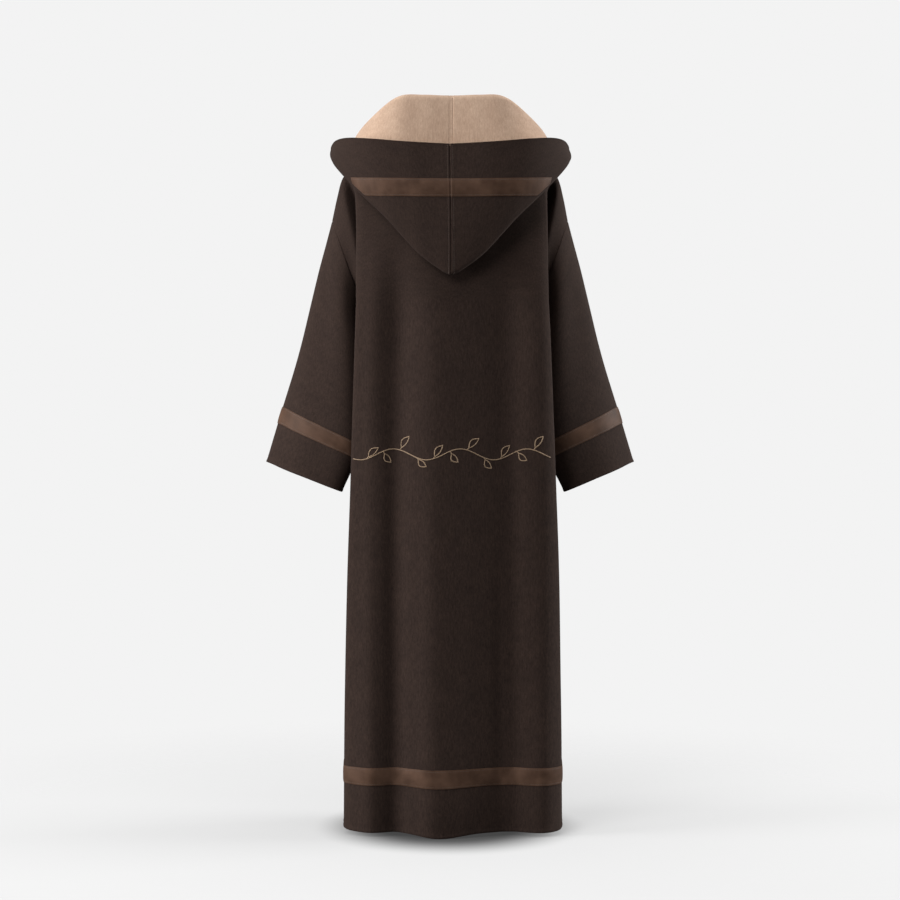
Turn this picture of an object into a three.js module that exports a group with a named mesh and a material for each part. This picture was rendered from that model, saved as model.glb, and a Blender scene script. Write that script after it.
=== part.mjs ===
// A long hooded robe in brushed wool, filled out as when it is worn, with its hood down on the back.
// Sizes are in millimetres. +Z is up, +Y is the way the wearer faces and +X is to the wearer's right.
// The origin lies at the base of the neck, level with the high points of the shoulders.
// Every piece of cloth is a closed wall: a grid of points on its outer face, and the same grid moved in.

import * as THREE from "three";

// Driving dimensions of the cloth
const CLOTH = 2.4; // brushed wool of the body and sleeves
const HOOD_CLOTH = 2.2; // the same wool in the hood
const LINING = 1.6; // napped lining of the hood
const BAND = 0.8; // smooth leather-like trim band
const SEAM = 0.3; // gap between pieces that are sewn together
const HOOD_SEAM = 1.1; // and along the neck seam, where the two cloths turn towards each other
const HOOD_INSET = 0.985; // the hood's neck edge is drawn in by this share, to stand inside the body's
const BAND_WIDTH = 36;

// Driving dimensions of the garment
const HEM_Z = -1414; // high shoulder point to hem
const UNDERARM_Z = -330;
const HEM_BAND_ABOVE = 96; // from the hem to the lower edge of its band
const CUFF_BAND_ABOVE = 85;
const FRONT_GAP_TOP = 4; // the two fronts meet edge to edge and part a little towards the hem
const FRONT_GAP_HEM = 16;
const HANG_TO_RIGHT = 6; // the skirt hangs this far to the wearer's right of the hood's seam
const HANG_FULL_BELOW = 600; // reached this far under the underarm
const BACK_TO_RIGHT = 4; // and so much of it already shows in the back, above the underarm

// Half of the body's outline at each height. back and front are the depths at the centre. half is the half width
// at the standing fold beside each arm, edge that fold's depth, soft its roundness and tuck how far the cloth
// turns in behind it. side is the half width at the side seam. chest and corner place the front's own corner.
const BODY = [
  { z: HEM_Z, back: 136, half: 217, edge: 98, soft: 36, tuck: -6, turn: 34, side: 229, chest: 219, corner: 66, front: 131 },
  { z: -1150, back: 140, half: 217, edge: 98, soft: 36, tuck: -2, turn: 34, side: 225, chest: 213, corner: 68, front: 131 },
  { z: -900, back: 145, half: 215, edge: 102, soft: 34, tuck: 8, turn: 36, side: 210, chest: 197, corner: 72, front: 130 },
  { z: -700, back: 149, half: 209, edge: 108, soft: 30, tuck: 20, turn: 38, side: 184, chest: 175, corner: 76, front: 129 },
  { z: -500, back: 150, half: 202, edge: 114, soft: 26, tuck: 25, turn: 38, side: 160, chest: 160, corner: 76, front: 127 },
  { z: -415, back: 149, half: 199, edge: 114, soft: 25, tuck: 24, turn: 37, side: 163, chest: 162, corner: 72, front: 125 },
  { z: UNDERARM_Z, back: 147, half: 196, edge: 114, soft: 24, tuck: 17, turn: 34, side: 182, chest: 172, corner: 66, front: 122 },
];

// Where each point of that outline lies along the cloth, from the centre back round to the centre front.
const CLOTH_AT = [0, 100, 182, 214, 252, 325, 372, 418, 492, 580];
const EDGE_AT = CLOTH_AT[3];
const SIDE_AT = CLOTH_AT[5];
const FRONT_AT = CLOTH_AT[9];
const NECK_BACK_AT = 95; // where the neckline ends and the shoulder seam starts, on the back
const NECK_FRONT_AT = 492; // and on the front

// Hanging folds: at is the place along the cloth, plus to the wearer's right; out is the height of a ridge, or
// minus the depth of a trough, and hem the same at the hem; left and right are how far it reaches to each side;
// top is where it fades out.
const FOLDS = [
  { at: -170, out: 3, hem: 4, left: 20, right: 22, top: -150 },
  { at: -114, out: -16, hem: -20, left: 31, right: 36, top: -150 },
  { at: -32, out: 9, hem: 16, left: 40, right: 56, top: -190 },
  { at: 112, out: -18, hem: -22, left: 68, right: 44, top: -150 },
  { at: 188, out: 9, hem: 12, left: 40, right: 24, top: -170 },
  { at: -545, out: 6, hem: 10, left: 26, right: 26, top: -420 },
  { at: -478, out: -14, hem: -19, left: 34, right: 28, top: -230 },
  { at: -405, out: 7, hem: 10, left: 24, right: 28, top: -420 },
  { at: 396, out: 6, hem: 9, left: 28, right: 26, top: -460 },
  { at: 455, out: -13, hem: -18, left: 28, right: 36, top: -240 },
  { at: 530, out: 8, hem: 12, left: 30, right: 28, top: -380 },
];
const FOLD_FULL_BELOW = 260; // a fold reaches its full depth this far under its top
const FOLD_GROWS_BELOW = -500; // and grows from here to its depth at the hem
const HEM_DIP = { at: -22, wide: 46, deep: 8, high: 170 }; // the hem hangs lower on its middle ridge
const HEM_LIFT = { at: 258, wide: 38, rise: 10 }; // and higher where it turns to the side

// The neckline, from the centre back over the shoulder to the centre front.
const NECK = [
  { q: 0, x: 0, y: -79, z: 7 },
  { q: 0.13, x: 30, y: -76, z: 7 },
  { q: 0.26, x: 57, y: -64, z: 6 },
  { q: 0.39, x: 77, y: -42, z: 4 },
  { q: 0.52, x: 88, y: -8, z: 0 },
  { q: 0.66, x: 86, y: 27, z: -14 },
  { q: 0.82, x: 62, y: 64, z: -47 },
  { q: 1, x: 2, y: 92, z: -88 },
];
const NECK_SIDE_Q = 0.52; // where the shoulder seam meets it
const NECK_BACK_STEPS = 4; // straight steps of the neck seam, which the body and the hood share
const NECK_FRONT_STEPS = 5;

// The shoulder seam, from the neckline over the shoulder's corner and down to the top of the sleeve.
const SHOULDER = [
  { r: 0, x: 88, y: -8, z: 0 },
  { r: 0.24, x: 140, y: -7, z: -17 },
  { r: 0.5, x: 197, y: -5, z: -42 },
  { r: 0.66, x: 224, y: -3, z: -62 },
  { r: 0.82, x: 237, y: -1, z: -105 },
  { r: 1, x: 247, y: 0, z: -153 },
];
const EDGE_R = 0.5; // the standing fold's place on the shoulder seam
const ARMHOLE_DEEP = 75; // half depth of the armhole, front to back
const TUCK = { at: 244, wide: 19, deep: 40, in: 9 }; // the hollow between the back's standing fold and the sleeve

// The sleeve. Each section is an oval between a point on its outer line and one on its inner line; deep is half
// its depth, y how far it is carried forward, and w its distance along the outer line.
const SLEEVE = [
  { w: 0, outX: 247, outZ: -153, inX: 182, inZ: UNDERARM_Z, deep: ARMHOLE_DEEP, y: 0 },
  { w: 61, outX: 262, outZ: -212, inX: 189, inZ: -366, deep: 72, y: 1 },
  { w: 172, outX: 290, outZ: -320, inX: 188, inZ: -440, deep: 65, y: 5 },
  { w: 296, outX: 322, outZ: -440, inX: 184, inZ: -534, deep: 58, y: 12 },
  { w: 417, outX: 359, outZ: -556, inX: 194, inZ: -634, deep: 52, y: 23 },
  { w: 524, outX: 391, outZ: -659, inX: 233, inZ: -722, deep: 46, y: 34 },
];
const SLEEVE_LENGTH = 524;
const SLEEVE_START = 3; // just clear of the armhole edge
const SLEEVE_FLAT = 0.32; // how much flatter than an oval it hangs, from this far down
const SLEEVE_FLAT_BELOW = 170;
const SLEEVE_FACES_OUT = 0.4; // the slope by which its back face looks to the wearer's side
const CUFF_TURN = { left: -6, right: 7 }; // how far the inner corner of each cuff lies outwards of the table

// The hood, half of it, from the centre back (u 0) to the centre front (u 1). roll is the line where it turns
// over after standing up from the neck, fold the lowest line of the bag, and brim its front edge.
const HOOD = [
  { u: 0, rollX: 0, rollY: -104, rollZ: 88, foldX: 0, foldY: -173, foldZ: -282, brimX: 0, brimY: -206, brimZ: -22 },
  { u: 0.04, rollX: 17, rollY: -105, rollZ: 88, foldX: 18, foldY: -173, foldZ: -274, brimX: 30, brimY: -206, brimZ: -20.6 },
  { u: 0.14, rollX: 55, rollY: -107, rollZ: 89, foldX: 66, foldY: -172, foldZ: -238, brimX: 92, brimY: -206, brimZ: -17 },
  { u: 0.28, rollX: 104, rollY: -104, rollZ: 87, foldX: 130, foldY: -166, foldZ: -168, brimX: 165, brimY: -190, brimZ: -9 },
  { u: 0.42, rollX: 148, rollY: -82, rollZ: 59, foldX: 184, foldY: -144, foldZ: -114, brimX: 214, brimY: -148, brimZ: -2 },
  { u: 0.56, rollX: 190, rollY: -34, rollZ: 22, foldX: 229, foldY: -92, foldZ: -62, brimX: 240, brimY: -84, brimZ: -3 },
  { u: 0.7, rollX: 188, rollY: 24, rollZ: 4, foldX: 235, foldY: -4, foldZ: -42, brimX: 245, brimY: 0, brimZ: -14 },
  { u: 0.85, rollX: 136, rollY: 78, rollZ: -28, foldX: 182, foldY: 76, foldZ: -70, brimX: 200, brimY: 92, brimZ: -47 },
  { u: 1, rollX: 16, rollY: 112, rollZ: -62, foldX: 40, foldY: 126, foldZ: -100, brimX: 46, brimY: 140, brimZ: -80 },
];
const HOOD_TO_RIGHT = 2.5; // the bag hangs this far to the wearer's right of the neck seam
const HOOD_SIDE_U = 0.56; // where the shoulder seam meets the hood
const ROLL_RADIUS = 8;
const FOLD_RADIUS = 9;
// Where the points of the hood's profile lie along it, from the neck seam to the brim.
const PROFILE_AT = [0, 0.02, 0.12, 0.145, 0.17, 0.36, 0.57, 0.6, 0.63, 0.81, 1];
const HOOD_STAND = 10; // the hood stands straight up from the neck seam this far

// The hood's band hangs level across the back, and its edges rise a little towards its ends
const HOOD_BAND_TOP = -91;
const HOOD_BAND_RISE = 10;
const HOOD_BAND_END_U = 0.45;
const BAND_FOLD_AT = 0.64; // it stays above the bend at the foot of the bag
const BAND_RISE = 1; // it lies this far off the hood's cloth

// Fineness of the grids
const SIDE_STEPS = 10; // rows from the hem band to the underarm
const SLEEVE_ROUND = 22;
const YOKE_STEPS = SLEEVE_ROUND / 2; // rows up the armhole, one for each point of the sleeve's end
const SLEEVE_STEPS = 9; // rows from the armhole to the cuff band
const HOOD_STEPS = 2; // rows of the hood for each step of the neck seam

// The smooth curve through values at knots, read at x: a cubic between each pair, with slopes from the neighbours.
function along(knots, values, x) {
  const last = knots.length - 1;
  let i = 0;
  while (i < last - 1 && x > knots[i + 1]) i++;
  const slope = (k) => {
    const a = Math.max(k - 1, 0);
    const b = Math.min(k + 1, last);
    return (values[b] - values[a]) / (knots[b] - knots[a]);
  };
  const step = knots[i + 1] - knots[i];
  const t = (x - knots[i]) / step;
  const t2 = t * t;
  const t3 = t2 * t;
  return (
    (2 * t3 - 3 * t2 + 1) * values[i] +
    (t3 - 2 * t2 + t) * step * slope(i) +
    (3 * t2 - 2 * t3) * values[i + 1] +
    (t3 - t2) * step * slope(i + 1)
  );
}

// One named column of a table, read at a place along it.
const read = (table, key, name, x) =>
  along(
    table.map((row) => row[key]),
    table.map((row) => row[name]),
    x,
  );

const mix = (a, b, t) => a + (b - a) * t;
const spread = (from, to, steps) =>
  Array.from({ length: steps + 1 }, (_, i) => mix(from, to, i / steps));
const inOrder = (...runs) => [...new Set(runs.flat())];
const easeInOut = (t) => {
  const c = Math.min(Math.max(t, 0), 1);
  return c * c * (3 - 2 * c);
};

// Half the gap between the two fronts at a height.
const frontGap = (z) => mix(FRONT_GAP_TOP, FRONT_GAP_HEM, Math.min(z / HEM_Z, 1)) / 2;

// The half outline of the body at height z, at a place along the cloth from the centre back.
function outline(at, z) {
  const [back, half, edge, soft, tuck, turn, side, chest, corner, front] = [
    "back", "half", "edge", "soft", "tuck", "turn", "side", "chest", "corner", "front",
  ].map((name) => read(BODY, "z", name, z));
  const points = [
    [0, -back],
    [half * 0.5, -(back - 2)],
    [half - soft, -(edge + soft * 0.62)],
    [half, -edge],
    [half - tuck, -(edge - turn)],
    [side, 0],
    [chest + 2, corner * 0.62],
    [chest - 22, corner + 20],
    [chest * 0.5, front - 3],
    [frontGap(z), front],
  ];
  return [0, 1].map((k) =>
    along(
      CLOTH_AT,
      points.map((p) => p[k]),
      at,
    ),
  );
}

// How far the hem's dip and lift move the cloth down, at a place along it and a height.
const dipOf = (at, z) =>
  (HEM_DIP.deep * Math.exp(-(((at - HEM_DIP.at) / HEM_DIP.wide) ** 2)) -
    HEM_LIFT.rise * Math.exp(-(((Math.abs(at) - HEM_LIFT.at) / HEM_LIFT.wide) ** 2))) *
  easeInOut((HEM_Z + HEM_DIP.high - z) / HEM_DIP.high);

// How far the hanging folds move the cloth out, at a place along it and a height.
function foldOut(at, z) {
  return FOLDS.reduce((sum, f) => {
    const shape = Math.exp(-(((at - f.at) / (at < f.at ? f.left : f.right)) ** 2));
    const depth = mix(f.out, f.hem, easeInOut((FOLD_GROWS_BELOW - z) / (FOLD_GROWS_BELOW - HEM_Z)));
    return sum + depth * shape * easeInOut((f.top - z) / FOLD_FULL_BELOW);
  }, 0);
}

const neckStops = inOrder(
  spread(0, NECK_SIDE_Q, NECK_BACK_STEPS),
  spread(NECK_SIDE_Q, 1, NECK_FRONT_STEPS),
);

// A point on the neckline, in straight steps, and one on the shoulder seam, of the wearer's right half.
function neckPoint(q) {
  const i = Math.min(neckStops.findLastIndex((stop) => q >= stop - 1e-9), neckStops.length - 2);
  const t = (q - neckStops[i]) / (neckStops[i + 1] - neckStops[i]);
  return ["x", "y", "z"].map((name) =>
    mix(read(NECK, "q", name, neckStops[i]), read(NECK, "q", name, neckStops[i + 1]), t),
  );
}
const shoulderPoint = (r) => ["x", "y", "z"].map((name) => read(SHOULDER, "r", name, r));

// The top edge of a panel above each place along the cloth: the neckline, then the shoulder seam.
function topEdge(at) {
  const onFront = at > SIDE_AT;
  const neckAt = onFront ? NECK_FRONT_AT : NECK_BACK_AT;
  const centreAt = onFront ? FRONT_AT : 0;
  const edgeAt = onFront ? SIDE_AT + (SIDE_AT - EDGE_AT) * 0.8 : EDGE_AT;
  const fromCentre = (at - centreAt) / (neckAt - centreAt);
  const inner = (at - neckAt) / (edgeAt - neckAt);
  const past = (at - edgeAt) / (SIDE_AT - edgeAt);
  const onNeck = fromCentre <= 1;
  const [x, y, z] = onNeck
    ? neckPoint(mix(onFront ? 1 : 0, NECK_SIDE_Q, fromCentre))
    : shoulderPoint(inner <= 1 ? EDGE_R * inner : mix(EDGE_R, 1, past));
  const parting = onNeck ? easeInOut(fromCentre * 4 - 3) : 1;
  return [x, y + (onFront ? 2 : -2) * SEAM * parting, z];
}

// A point on the body above the underarm, at height share v from the underarm to the top edge.
function yokePoint(at, v) {
  const onFront = at > SIDE_AT;
  const [x0, y0] = outline(at, UNDERARM_Z);
  const [x1, y1, z1] = topEdge(at);
  const toSide = onFront ? (FRONT_AT - at) / (FRONT_AT - SIDE_AT) : at / SIDE_AT;
  const shoulderShare = easeInOut(toSide / 0.42);
  const rounding = mix(v ** 3, 1 - Math.sqrt(Math.max(1 - v * v, 0)), shoulderShare);
  // The armhole's edge is half an oval between the underarm and the sleeve's top.
  const [armX, armY] = [
    mix(SLEEVE[0].inX, SLEEVE[0].outX, v),
    (onFront ? 2 : -2) * ARMHOLE_DEEP * Math.sqrt(Math.max(v * (1 - v), 0)),
  ];
  const [sideX] = outline(SIDE_AT, UNDERARM_Z);
  const [topX, topY] = topEdge(SIDE_AT);
  const reach = Math.min(Math.max((toSide - 0.62) / 0.38, 0), 1) ** 1.4;
  const tuck = Math.exp(-(((at - TUCK.at) / TUCK.wide) ** 2)) * easeInOut(v / 0.3) * (1 - v ** 8);
  return [
    mix(x0, x1, v ** 3) + reach * (armX - mix(sideX, topX, v ** 3)) - TUCK.in * tuck,
    mix(y0, y1, rounding) + reach * (armY - mix(0, topY, rounding)) + TUCK.deep * tuck,
    mix(UNDERARM_Z, z1, v),
  ];
}

// A point on the body's outer face. level runs from 0 at the hem to 1 at the underarm and 2 at the top edge.
function bodyPoint(at, level) {
  const side = Math.sign(at) || 1;
  const place = Math.abs(at);
  const z = mix(HEM_Z, UNDERARM_Z, Math.min(level, 1));
  const base = (a) => (level > 1 ? yokePoint(a, level - 1) : [...outline(a, z), z]);
  const [x, y, height] = base(place);
  const [ax, ay] = base(Math.max(place - 1.5, 0));
  const [bx, by] = base(place + 1.5);
  const length = Math.hypot(bx - ax, by - ay) || 1;
  const out = foldOut(at, height);
  const hung = easeInOut((UNDERARM_Z - height) / HANG_FULL_BELOW);
  const free = (1 - easeInOut((place - EDGE_AT) / (SIDE_AT - EDGE_AT))) * easeInOut(-height / 200);
  return new THREE.Vector3(
    side * (x + ((by - ay) / length) * out) + mix(BACK_TO_RIGHT * free, HANG_TO_RIGHT, hung),
    y - ((bx - ax) / length) * out,
    height - dipOf(at, height),
  );
}

// A point on a sleeve's outer face: w along it, and turn from 0 at its outer line, back round to the outer line.
function sleevePoint(side, w, turn) {
  const get = (name) => read(SLEEVE, "w", name, w);
  const cuffShare = easeInOut((w - 300) / (SLEEVE_LENGTH - 300));
  const inX = get("inX") + cuffShare * CUFF_TURN[side < 0 ? "left" : "right"];
  const across = Math.cos(turn);
  const flat = 1 - SLEEVE_FLAT * easeInOut(w / SLEEVE_FLAT_BELOW);
  const deep = Math.sign(Math.sin(turn)) * get("deep") * Math.abs(Math.sin(turn)) ** flat;
  const x = mix(inX, get("outX"), (1 + across) / 2);
  const z = mix(get("inZ"), get("outZ"), (1 + across) / 2);
  const outwards = SLEEVE_FACES_OUT * easeInOut(w / SLEEVE_FLAT_BELOW) * ((get("outX") - inX) / 2) * across;
  return new THREE.Vector3(side * x, get("y") - deep + outwards, z);
}

// A point on the hood's outer face, on the half of side: u round the neck, s from the neck seam to the brim.
function hoodPoint(side, u, s) {
  if (u < 0) return hoodPoint(-side, -u, s);
  const get = (name) => read(HOOD, "u", name, u);
  const point = (name) => new THREE.Vector3(get(name + "X"), get(name + "Y"), get(name + "Z"));
  const toFront = (u - HOOD_SIDE_U) / (1 - HOOD_SIDE_U);
  const [nx, ny, nz] = neckPoint(toFront < 0 ? NECK_SIDE_Q * (u / HOOD_SIDE_U) : mix(NECK_SIDE_Q, 1, toFront));
  const neck = new THREE.Vector3(nx, ny, 0).multiplyScalar(HOOD_INSET).setZ(nz + HOOD_SEAM);
  const roll = point("roll");
  const fold = point("fold");
  const brim = point("brim");
  const size = easeInOut((1 - u) / 0.3) * 0.1 + 0.9; // the rolls grow tighter towards the front
  const stand = neck.clone().add(new THREE.Vector3(0, 0, HOOD_STAND * size));
  const rollOut = new THREE.Vector3().subVectors(brim, roll).setZ(0).normalize().multiplyScalar(ROLL_RADIUS * size);
  const foldOutwards = rollOut.clone().setLength(FOLD_RADIUS * size);
  const down = (r, k) => new THREE.Vector3(0, 0, -r * size * k);
  const up = (r, k) => new THREE.Vector3(0, 0, r * size * k);
  const rollIn = roll.clone().sub(rollOut).add(down(ROLL_RADIUS, 1));
  const rollBack = roll.clone().add(rollOut).add(down(ROLL_RADIUS, 1));
  const foldIn = fold.clone().sub(foldOutwards).add(up(FOLD_RADIUS, 1));
  const foldBack = fold.clone().add(foldOutwards).add(up(FOLD_RADIUS, 1));
  const under = rollBack.clone().lerp(foldIn, 0.5);
  const face = foldBack.clone().lerp(brim, 0.5).add(foldOutwards.clone().multiplyScalar(0.5));
  const points = [neck, stand, rollIn, roll, rollBack, under, foldIn, fold, foldBack, face, brim];
  const [x, y, z] = ["x", "y", "z"].map((k) =>
    along(
      PROFILE_AT,
      points.map((p) => p[k]),
      s,
    ),
  );
  const swing = HOOD_TO_RIGHT * easeInOut(s / 0.12) * easeInOut((1 - s) / 0.3) * easeInOut((1 - u) / 0.5);
  return new THREE.Vector3(side * (Math.max(x, 0) + SEAM / 2 + 0.05) + swing, y, z);
}

// The outward normal of a surface at (a, b), from points a little to each side.
function normalAt(surface, a, b, stepA, stepB) {
  const alongA = surface(a + stepA, b).sub(surface(a - stepA, b));
  const alongB = surface(a, b + stepB).sub(surface(a, b - stepB));
  return alongA.cross(alongB).normalize();
}

// A closed wall on a surface: rows by columns of points, from outer to inner millimetres along the normal.
function wall(surface, rows, columns, { outer, inner, flip = 1, round = false, steps, limits }) {
  const clampTo = (v, range) => (range ? Math.min(Math.max(v, range[0]), range[1]) : v);
  const bounded = (a, b) => surface(clampTo(a, limits && limits[0]), clampTo(b, limits && limits[1]));
  const near = rows.map((a) => columns.map((b) => surface(a, b)));
  const normals = rows.map((a) => columns.map((b) => normalAt(bounded, a, b, steps[0], steps[1]).multiplyScalar(flip)));
  const layer = (distance) => near.map((row, i) => row.map((p, j) => p.clone().addScaledVector(normals[i][j], distance)));
  const layers = [layer(outer), layer(inner)];
  const wide = columns.length;
  const tall = rows.length;
  const positions = layers.flat(2).flatMap((p) => [p.x, p.y, p.z]);
  const id = (k, i, j) => k * wide * tall + i * wide + (round ? (j + wide) % wide : j);
  const faces = [];
  const quad = (a, b, c, d) => faces.push(a, b, c, a, c, d);
  const across = round ? wide : wide - 1;
  for (let i = 0; i < tall - 1; i++)
    for (let j = 0; j < across; j++) {
      quad(id(0, i, j), id(0, i + 1, j), id(0, i + 1, j + 1), id(0, i, j + 1));
      quad(id(1, i, j), id(1, i, j + 1), id(1, i + 1, j + 1), id(1, i + 1, j));
    }
  for (let j = 0; j < across; j++) {
    quad(id(0, 0, j), id(0, 0, j + 1), id(1, 0, j + 1), id(1, 0, j));
    quad(id(0, tall - 1, j), id(1, tall - 1, j), id(1, tall - 1, j + 1), id(0, tall - 1, j + 1));
  }
  if (!round)
    for (let i = 0; i < tall - 1; i++) {
      quad(id(0, i, 0), id(1, i, 0), id(1, i + 1, 0), id(0, i + 1, 0));
      quad(id(0, i, wide - 1), id(0, i + 1, wide - 1), id(1, i + 1, wide - 1), id(1, i, wide - 1));
    }
  const geometry = new THREE.BufferGeometry();
  geometry.setAttribute("position", new THREE.Float32BufferAttribute(positions, 3));
  geometry.setIndex(volumeOf(positions, faces) < 0 ? faces.reverse() : faces);
  geometry.computeVertexNormals();
  return geometry;
}

// The signed volume inside a closed set of triangles.
function volumeOf(positions, faces) {
  const point = (i) => new THREE.Vector3().fromArray(positions, i * 3);
  let sum = 0;
  for (let i = 0; i < faces.length; i += 3) sum += point(faces[i]).dot(point(faces[i + 1]).cross(point(faces[i + 2])));
  return sum / 6;
}

// Finishes
const wool = new THREE.MeshStandardMaterial({ color: 0x3a302a, roughness: 0.95, metalness: 0 });
const leathery = new THREE.MeshStandardMaterial({ color: 0x5e483a, roughness: 0.45, metalness: 0 });
const napped = new THREE.MeshStandardMaterial({ color: 0xb9a08a, roughness: 0.95, metalness: 0 });

const robe = new THREE.Group();
function add(name, geometry, material) {
  const mesh = new THREE.Mesh(geometry, material);
  mesh.name = name;
  robe.add(mesh);
}

// Places along the cloth for the columns of a body panel: closer together at the standing fold.
const backHalf = inOrder(
  spread(0, NECK_BACK_AT, NECK_BACK_STEPS),
  spread(NECK_BACK_AT, 176, 4),
  spread(176, 264, 10),
  spread(264, SIDE_AT - SEAM, 4),
);
const frontHalf = inOrder(
  spread(SIDE_AT + SEAM, 372, 3),
  spread(372, 440, 5),
  spread(440, NECK_FRONT_AT, 3),
  spread(NECK_FRONT_AT, FRONT_AT, NECK_FRONT_STEPS),
);
const mirrored = (places) => places.map((p) => -p).reverse();

// Levels for the rows of a body panel. Up the armhole they follow the points round the sleeve's end.
const levelAt = (z) => (z - HEM_Z) / (UNDERARM_Z - HEM_Z);
const hemBandRows = [levelAt(HEM_Z + HEM_BAND_ABOVE), levelAt(HEM_Z + HEM_BAND_ABOVE + BAND_WIDTH)];
const bodyRows = inOrder(
  [0, ...hemBandRows],
  spread(hemBandRows[1], 1, SIDE_STEPS),
  spread(0, Math.PI, YOKE_STEPS).map((turn) => 1 + (1 - Math.cos(turn)) / 2),
);
const onBody = (level, at) => bodyPoint(at, level);
const bodySteps = [0.004, 2];
const panels = {
  back: inOrder(mirrored(backHalf), backHalf),
  front_right: frontHalf,
  front_left: mirrored(frontHalf),
};
for (const [name, columns] of Object.entries(panels)) {
  const ends = [columns[0], columns[columns.length - 1]];
  const cloth = { outer: 0, inner: -CLOTH, flip: -1, steps: bodySteps, limits: [[0, 2], ends] };
  add(name, wall(onBody, bodyRows, columns, cloth), wool);
  const trim = { ...cloth, outer: SEAM + BAND, inner: SEAM };
  add("hem_band_" + name, wall(onBody, hemBandRows, columns, trim), leathery);
}

// The hood's profile is read closer together at its two bends.
const hoodProfile = inOrder(
  [0, 0.03, 0.075],
  spread(0.115, 0.175, 4),
  [0.26, 0.36, 0.47],
  spread(0.56, 0.64, 4),
  spread(0.73, 1, 3),
);

// The place along the profile of a point of the hood's band: share 0 is its lower edge and 1 its upper one.
function bandPlace(side, u, share) {
  const wanted = HOOD_BAND_TOP + HOOD_BAND_RISE * (u / HOOD_BAND_END_U) ** 2 - BAND_WIDTH * (1 - share);
  let [low, high] = [BAND_FOLD_AT, 1];
  for (let i = 0; i < 30; i++) {
    const middle = (low + high) / 2;
    if (hoodPoint(side, u, middle).z < wanted) low = middle;
    else high = middle;
  }
  return Math.max(high, BAND_FOLD_AT + 0.03 * share);
}

for (const [name, side] of [["left", -1], ["right", 1]]) {
  const onSleeve = (w, turn) => sleevePoint(side, w, turn);
  const turns = spread(0, 2 * Math.PI, SLEEVE_ROUND).slice(0, -1);
  const cloth = { outer: 0, inner: -CLOTH, flip: -side, round: true, steps: [2, 0.02], limits: [[0, SLEEVE_LENGTH], null] };
  const trimRows = [SLEEVE_LENGTH - CUFF_BAND_ABOVE - BAND_WIDTH, SLEEVE_LENGTH - CUFF_BAND_ABOVE];
  const sleeveRows = inOrder(spread(SLEEVE_START, trimRows[0], SLEEVE_STEPS), spread(trimRows[1], SLEEVE_LENGTH, 2));
  add("sleeve_" + name, wall(onSleeve, sleeveRows, turns, cloth), wool);
  add("cuff_band_" + name, wall(onSleeve, trimRows, turns, { ...cloth, outer: SEAM + BAND, inner: SEAM }), leathery);

  const onHood = (u, s) => hoodPoint(side, u, s);
  const rounds = inOrder(
    spread(0, HOOD_SIDE_U, NECK_BACK_STEPS * HOOD_STEPS),
    spread(HOOD_SIDE_U, 1, NECK_FRONT_STEPS * HOOD_STEPS),
  );
  const hood = { flip: side, steps: [0.004, 0.004], limits: [[-1, 1], [0, 1]] };
  add("hood_" + name, wall(onHood, rounds, hoodProfile, { ...hood, outer: 0, inner: -HOOD_CLOTH }), wool);
  const lined = { ...hood, outer: -(HOOD_CLOTH + SEAM), inner: -(HOOD_CLOTH + SEAM + LINING) };
  add("hood_lining_" + name, wall(onHood, rounds, hoodProfile, lined), napped);

  // The hood's band goes round to the line where the hood folds under, and ends along it.
  const onBand = (u, share) => hoodPoint(side, u, bandPlace(side, u, share));
  const bandRows = rounds.filter((u) => u < HOOD_BAND_END_U);
  const trim = { ...hood, outer: BAND_RISE + BAND, inner: BAND_RISE };
  add("hood_band_" + name, wall(onBand, bandRows, spread(0, 1, 2), trim), leathery);
}

export default robe;
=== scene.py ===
"""A long hooded robe in dark brushed wool, filled out as when it is worn, with its lined hood down on the back.

Lengths in the cutting tables are in millimetres, as on a cutting table. Meshes are in metres, in the part's own frame:
+Z is up, +Y is the way the wearer faces, and the origin is between the shoulders, level with the sides of the neck.
"""

import logging
from collections.abc import Callable, Sequence
from dataclasses import dataclass, field
from enum import Enum

import bpy
import numpy as np
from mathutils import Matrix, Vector


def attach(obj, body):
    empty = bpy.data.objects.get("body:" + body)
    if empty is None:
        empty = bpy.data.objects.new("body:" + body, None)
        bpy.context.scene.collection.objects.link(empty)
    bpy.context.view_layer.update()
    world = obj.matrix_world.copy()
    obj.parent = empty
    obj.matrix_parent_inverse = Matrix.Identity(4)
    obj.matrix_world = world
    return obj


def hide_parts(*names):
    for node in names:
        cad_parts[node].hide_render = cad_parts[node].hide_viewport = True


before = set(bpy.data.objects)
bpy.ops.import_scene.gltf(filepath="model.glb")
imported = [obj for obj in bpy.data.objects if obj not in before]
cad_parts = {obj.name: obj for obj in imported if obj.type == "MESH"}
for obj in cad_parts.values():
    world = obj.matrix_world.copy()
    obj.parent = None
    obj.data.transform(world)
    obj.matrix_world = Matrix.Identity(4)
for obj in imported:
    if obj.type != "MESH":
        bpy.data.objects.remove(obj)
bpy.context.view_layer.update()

log = logging.getLogger("robe")
Array = np.ndarray
Surface = Callable[[Array, Array], Array]
Node = bpy.types.Node

MM = 0.001
FOLDS_FREE = -500.0
FOLDS_FULL = -1414.0
FOLD_RISE = 260.0


class Side(Enum):
    """A side of the wearer, with the sign of its X coordinate."""

    LEFT = -1
    RIGHT = 1


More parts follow.
